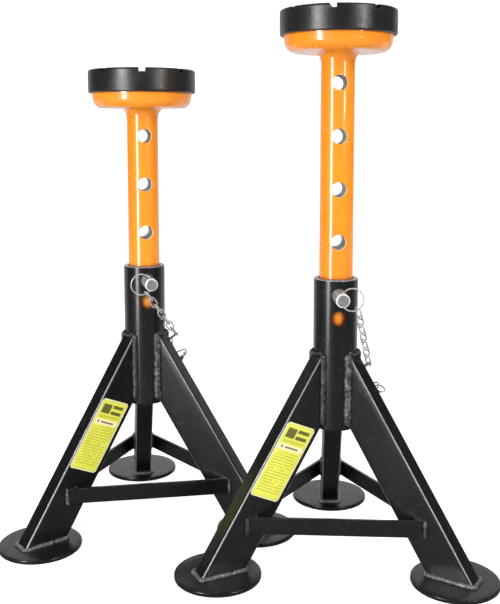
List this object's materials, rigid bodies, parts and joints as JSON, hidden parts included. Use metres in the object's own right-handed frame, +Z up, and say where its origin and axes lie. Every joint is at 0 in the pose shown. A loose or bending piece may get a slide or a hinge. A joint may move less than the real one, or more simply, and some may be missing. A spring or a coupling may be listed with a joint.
{
  "type": "axle stand pair",
  "caption": "Pair of pin-type axle stands: tripod bases, sliding posts with saddle cups and rubber pads, lock pins on chains.",
  "frame": {"origin": "on the floor, in the middle of the pair's box seen from above", "axes": "+Z up, -Y to the side the lock pins point to, +X from the left stand towards the right one"},
  "size_m": [0.5007, 0.3753, 0.5475],
  "materials": {
    "black_paint": "satin black paint over steel",
    "orange_paint": "gloss orange powder coat over steel",
    "rubber": "matte moulded rubber",
    "zinc": "bright zinc plated steel",
    "yellow_label": "printed yellow vinyl sticker"
  },
  "bodies": {
    "left_base": {"left_base_sleeve": "black_paint", "left_leg_left": "black_paint", "left_leg_right": "black_paint", "left_leg_rear": "black_paint", "left_brace_front": "black_paint", "left_brace_left": "black_paint", "left_brace_right": "black_paint", "left_foot_left": "black_paint", "left_foot_right": "black_paint", "left_foot_rear": "black_paint", "left_capacity_label": "yellow_label", "left_chain_eye": "zinc"},
    "left_post_body": {"left_post": "orange_paint", "left_saddle_cup": "orange_paint"},
    "left_pad_body": {"left_rubber_pad": "rubber"},
    "left_pin_body": {"left_lock_pin": "zinc"},
    "left_ring_body": {"left_pull_ring": "zinc"},
    "left_chain_link_01_body": {"left_chain_link_01": "zinc"},
    "left_chain_link_02_body": {"left_chain_link_02": "zinc"},
    "left_chain_link_03_body": {"left_chain_link_03": "zinc"},
    "left_chain_link_04_body": {"left_chain_link_04": "zinc"},
    "left_chain_link_05_body": {"left_chain_link_05": "zinc"},
    "left_chain_link_06_body": {"left_chain_link_06": "zinc"},
    "left_chain_link_07_body": {"left_chain_link_07": "zinc"},
    "left_chain_link_08_body": {"left_chain_link_08": "zinc"},
    "left_chain_link_09_body": {"left_chain_link_09": "zinc"},
    "left_chain_link_10_body": {"left_chain_link_10": "zinc"},
    "left_chain_link_11_body": {"left_chain_link_11": "zinc"},
    "right_base": {"right_base_sleeve": "black_paint", "right_leg_left": "black_paint", "right_leg_right": "black_paint", "right_leg_rear": "black_paint", "right_brace_front": "black_paint", "right_brace_left": "black_paint", "right_brace_right": "black_paint", "right_foot_left": "black_paint", "right_foot_right": "black_paint", "right_foot_rear": "black_paint", "right_capacity_label": "yellow_label", "right_chain_eye": "zinc"},
    "right_post_body": {"right_post": "orange_paint", "right_saddle_cup": "orange_paint"},
    "right_pad_body": {"right_rubber_pad": "rubber"},
    "right_pin_body": {"right_lock_pin": "zinc"},
    "right_ring_body": {"right_pull_ring": "zinc"},
    "right_chain_link_01_body": {"right_chain_link_01": "zinc"},
    "right_chain_link_02_body": {"right_chain_link_02": "zinc"},
    "right_chain_link_03_body": {"right_chain_link_03": "zinc"},
    "right_chain_link_04_body": {"right_chain_link_04": "zinc"},
    "right_chain_link_05_body": {"right_chain_link_05": "zinc"},
    "right_chain_link_06_body": {"right_chain_link_06": "zinc"},
    "right_chain_link_07_body": {"right_chain_link_07": "zinc"},
    "right_chain_link_08_body": {"right_chain_link_08": "zinc"},
    "right_chain_link_09_body": {"right_chain_link_09": "zinc"},
    "right_chain_link_10_body": {"right_chain_link_10": "zinc"},
    "right_chain_link_11_body": {"right_chain_link_11": "zinc"}
  },
  "joints": [
    {"name": "stand_spacing", "type": "slide", "parent": "left_base", "child": "right_base", "axis": [1, 0, 0], "range_m": [0, 0.3]},
    {"name": "left_post_slide", "type": "slide", "parent": "left_base", "child": "left_post_body", "axis": [0, 0, 1], "range_m": [-0.156, 0.156]},
    {"name": "left_pad_lift", "type": "slide", "parent": "left_post_body", "child": "left_pad_body", "axis": [0, 0, 1], "range_m": [0, 0.04]},
    {"name": "left_pin_pull", "type": "slide", "parent": "left_base", "child": "left_pin_body", "axis": [0.2647, -0.9643, 0], "range_m": [0, 0.0445]},
    {"name": "left_ring_swing", "type": "hinge", "parent": "left_pin_body", "child": "left_ring_body", "pos_m": [-0.09414, -0.02751, 0.2695], "axis": [0, 0, 1], "range_deg": [-38, 0]},
    {"name": "left_chain_bend_01", "type": "hinge", "parent": "left_ring_body", "child": "left_chain_link_01_body", "pos_m": [-0.09853, -0.02872, 0.25983], "axis": [0.5623, -0.2366, 0.7924], "range_deg": [0, 41.85]},
    {"name": "left_chain_bend_02", "type": "hinge", "parent": "left_chain_link_01_body", "child": "left_chain_link_02_body", "pos_m": [-0.09472, -0.02133, 0.25189], "axis": [-0.1371, -0.32, 0.9374], "range_deg": [0, 53.24]},
    {"name": "left_chain_bend_03", "type": "hinge", "parent": "left_chain_link_02_body", "child": "left_chain_link_03_body", "pos_m": [-0.09091, -0.01394, 0.24394], "axis": [-0.0164, 0.2551, 0.9668], "range_deg": [0, 8.29]},
    {"name": "left_chain_bend_04", "type": "hinge", "parent": "left_chain_link_03_body", "child": "left_chain_link_04_body", "pos_m": [-0.0871, -0.00655, 0.236], "axis": [-0.3176, -0.7076, 0.6312], "range_deg": [0, 49.48]},
    {"name": "left_chain_bend_05", "type": "hinge", "parent": "left_chain_link_04_body", "child": "left_chain_link_05_body", "pos_m": [-0.08328, 0.00084, 0.22806], "axis": [-0.0669, -0.9957, 0.0645], "range_deg": [0, 5.14]},
    {"name": "left_chain_bend_06", "type": "hinge", "parent": "left_chain_link_05_body", "child": "left_chain_link_06_body", "pos_m": [-0.07947, 0.00823, 0.22011], "axis": [-0.4269, -0.2719, 0.8625], "range_deg": [0, 2.66]},
    {"name": "left_chain_bend_07", "type": "hinge", "parent": "left_chain_link_06_body", "child": "left_chain_link_07_body", "pos_m": [-0.07566, 0.01562, 0.21217], "axis": [0.2258, 0.8444, -0.4858], "range_deg": [0, 32.9]},
    {"name": "left_chain_bend_08", "type": "hinge", "parent": "left_chain_link_07_body", "child": "left_chain_link_08_body", "pos_m": [-0.07185, 0.02301, 0.20422], "axis": [0.0688, 0.1218, -0.9902], "range_deg": [0, 67.85]},
    {"name": "left_chain_bend_09", "type": "hinge", "parent": "left_chain_link_08_body", "child": "left_chain_link_09_body", "pos_m": [-0.0801, 0.0275, 0.19759], "axis": [0.2377, 0.8643, -0.4432], "range_deg": [0, 39.73]},
    {"name": "left_chain_bend_10", "type": "hinge", "parent": "left_chain_link_09_body", "child": "left_chain_link_10_body", "pos_m": [-0.07974, 0.0273, 0.1861], "axis": [0.0606, 0.9754, 0.2119], "range_deg": [0, 44.76]},
    {"name": "left_chain_bend_11", "type": "hinge", "parent": "left_chain_link_10_body", "child": "left_chain_link_11_body", "pos_m": [-0.0711, 0.0226, 0.18016], "axis": [0.0081, 0.9754, 0.2205], "range_deg": [0, 33.76]},
    {"name": "right_post_slide", "type": "slide", "parent": "right_base", "child": "right_post_body", "axis": [0, 0, 1], "range_m": [-0.208, 0.104]},
    {"name": "right_pad_lift", "type": "slide", "parent": "right_post_body", "child": "right_pad_body", "axis": [0, 0, 1], "range_m": [0, 0.04]},
    {"name": "right_pin_pull", "type": "slide", "parent": "right_base", "child": "right_pin_body", "axis": [0.0489, -0.9988, 0], "range_m": [0, 0.0445]},
    {"name": "right_ring_swing", "type": "hinge", "parent": "right_pin_body", "child": "right_ring_body", "pos_m": [0.09956, -0.11683, 0.2695], "axis": [0, 0, 1], "range_deg": [0, 20]},
    {"name": "right_chain_bend_01", "type": "hinge", "parent": "right_ring_body", "child": "right_chain_link_01_body", "pos_m": [0.11484, -0.11608, 0.25997], "axis": [0.4747, 0.4819, -0.7365], "range_deg": [0, 65.92]},
    {"name": "right_chain_bend_02", "type": "hinge", "parent": "right_chain_link_01_body", "child": "right_chain_link_02_body", "pos_m": [0.11727, -0.1097, 0.25073], "axis": [0.3305, -0.8003, -0.5003], "range_deg": [0, 14.14]},
    {"name": "right_chain_bend_03", "type": "hinge", "parent": "right_chain_link_02_body", "child": "right_chain_link_03_body", "pos_m": [0.11971, -0.10331, 0.24148], "axis": [-0.1545, -0.4889, 0.8585], "range_deg": [0, 45.57]},
    {"name": "right_chain_bend_04", "type": "hinge", "parent": "right_chain_link_03_body", "child": "right_chain_link_04_body", "pos_m": [0.12214, -0.09692, 0.23223], "axis": [-0.122, -0.5545, 0.8232], "range_deg": [0, 48.74]},
    {"name": "right_chain_bend_05", "type": "hinge", "parent": "right_chain_link_04_body", "child": "right_chain_link_05_body", "pos_m": [0.12457, -0.09053, 0.22298], "axis": [-0.0616, -0.6996, 0.7118], "range_deg": [0, 37.07]},
    {"name": "right_chain_bend_06", "type": "hinge", "parent": "right_chain_link_05_body", "child": "right_chain_link_06_body", "pos_m": [0.127, -0.08414, 0.21373], "axis": [0.2045, -0.6382, 0.7422], "range_deg": [0, 15.7]},
    {"name": "right_chain_bend_07", "type": "hinge", "parent": "right_chain_link_06_body", "child": "right_chain_link_07_body", "pos_m": [0.12944, -0.07776, 0.20449], "axis": [0.096, 0.8841, -0.4573], "range_deg": [0, 17.2]},
    {"name": "right_chain_bend_08", "type": "hinge", "parent": "right_chain_link_07_body", "child": "right_chain_link_08_body", "pos_m": [0.13187, -0.07137, 0.19524], "axis": [-0.2996, 0.2678, -0.9157], "range_deg": [0, 57.82]},
    {"name": "right_chain_bend_09", "type": "hinge", "parent": "right_chain_link_08_body", "child": "right_chain_link_09_body", "pos_m": [0.12514, -0.06471, 0.18871], "axis": [0.3078, 0.723, -0.6185], "range_deg": [0, 47.3]},
    {"name": "right_chain_bend_10", "type": "hinge", "parent": "right_chain_link_09_body", "child": "right_chain_link_10_body", "pos_m": [0.12512, -0.06469, 0.17721], "axis": [0.7079, 0.705, 0.0416], "range_deg": [0, 38.84]},
    {"name": "right_chain_bend_11", "type": "hinge", "parent": "right_chain_link_10_body", "child": "right_chain_link_11_body", "pos_m": [0.13182, -0.07132, 0.17063], "axis": [0.9959, 0.0123, -0.0899], "range_deg": [0, 43.44]}
  ],
  "couplings": [
    {"joint": "left_ring_swing", "follows": "left_pin_pull", "rad_per_m": -14.904},
    {"joint": "left_chain_bend_01", "follows": "left_pin_pull", "rad_per_m": 16.416},
    {"joint": "left_chain_bend_02", "follows": "left_pin_pull", "rad_per_m": 20.881},
    {"joint": "left_chain_bend_03", "follows": "left_pin_pull", "rad_per_m": 3.2513},
    {"joint": "left_chain_bend_04", "follows": "left_pin_pull", "rad_per_m": 19.407},
    {"joint": "left_chain_bend_05", "follows": "left_pin_pull", "rad_per_m": 2.0143},
    {"joint": "left_chain_bend_06", "follows": "left_pin_pull", "rad_per_m": 1.0432},
    {"joint": "left_chain_bend_07", "follows": "left_pin_pull", "rad_per_m": 12.902},
    {"joint": "left_chain_bend_08", "follows": "left_pin_pull", "rad_per_m": 26.613},
    {"joint": "left_chain_bend_09", "follows": "left_pin_pull", "rad_per_m": 15.583},
    {"joint": "left_chain_bend_10", "follows": "left_pin_pull", "rad_per_m": 17.555},
    {"joint": "left_chain_bend_11", "follows": "left_pin_pull", "rad_per_m": 13.242},
    {"joint": "right_ring_swing", "follows": "right_pin_pull", "rad_per_m": 7.8442},
    {"joint": "right_chain_bend_01", "follows": "right_pin_pull", "rad_per_m": 25.855},
    {"joint": "right_chain_bend_02", "follows": "right_pin_pull", "rad_per_m": 5.5455},
    {"joint": "right_chain_bend_03", "follows": "right_pin_pull", "rad_per_m": 17.871},
    {"joint": "right_chain_bend_04", "follows": "right_pin_pull", "rad_per_m": 19.116},
    {"joint": "right_chain_bend_05", "follows": "right_pin_pull", "rad_per_m": 14.539},
    {"joint": "right_chain_bend_06", "follows": "right_pin_pull", "rad_per_m": 6.158},
    {"joint": "right_chain_bend_07", "follows": "right_pin_pull", "rad_per_m": 6.7457},
    {"joint": "right_chain_bend_08", "follows": "right_pin_pull", "rad_per_m": 22.678},
    {"joint": "right_chain_bend_09", "follows": "right_pin_pull", "rad_per_m": 18.552},
    {"joint": "right_chain_bend_10", "follows": "right_pin_pull", "rad_per_m": 15.234},
    {"joint": "right_chain_bend_11", "follows": "right_pin_pull", "rad_per_m": 17.038}
  ]
}
